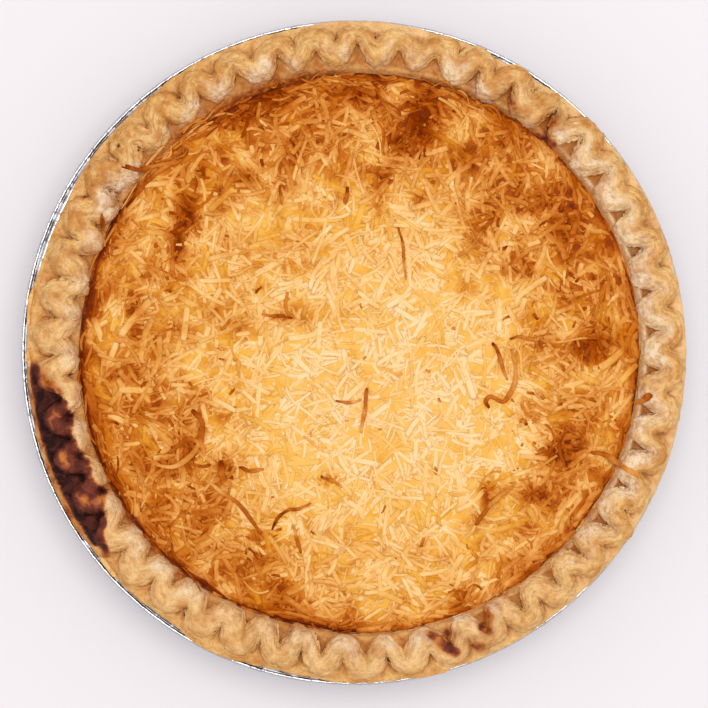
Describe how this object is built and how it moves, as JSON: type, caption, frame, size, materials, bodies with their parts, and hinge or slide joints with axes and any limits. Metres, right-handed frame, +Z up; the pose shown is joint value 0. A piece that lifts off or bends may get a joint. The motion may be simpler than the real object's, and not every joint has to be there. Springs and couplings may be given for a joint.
{
  "type": "coconut custard pie",
  "caption": "Whole baked custard pie topped with toasted shredded coconut, in a fluted pastry shell that stands in its own pressed foil tin.",
  "frame": {"origin": "middle of the tin's flat bottom, at the level it stands on", "axes": "+Z up through the pie, +X to the right and +Y away, as the pie is seen from straight above"},
  "size_m": [0.245, 0.245, 0.0399],
  "materials": {
    "foil": "bright crinkled foil",
    "pastry": "matte baked pastry, floury in places",
    "custard": "satin baked custard skin",
    "coconut": "satin toasted coconut",
    "caramel": "glossy caramelised filling"
  },
  "bodies": {
    "root": {"foil_tin": "foil", "pastry_crust": "pastry", "custard_filling": "custard"}
  },
  "joints": []
}
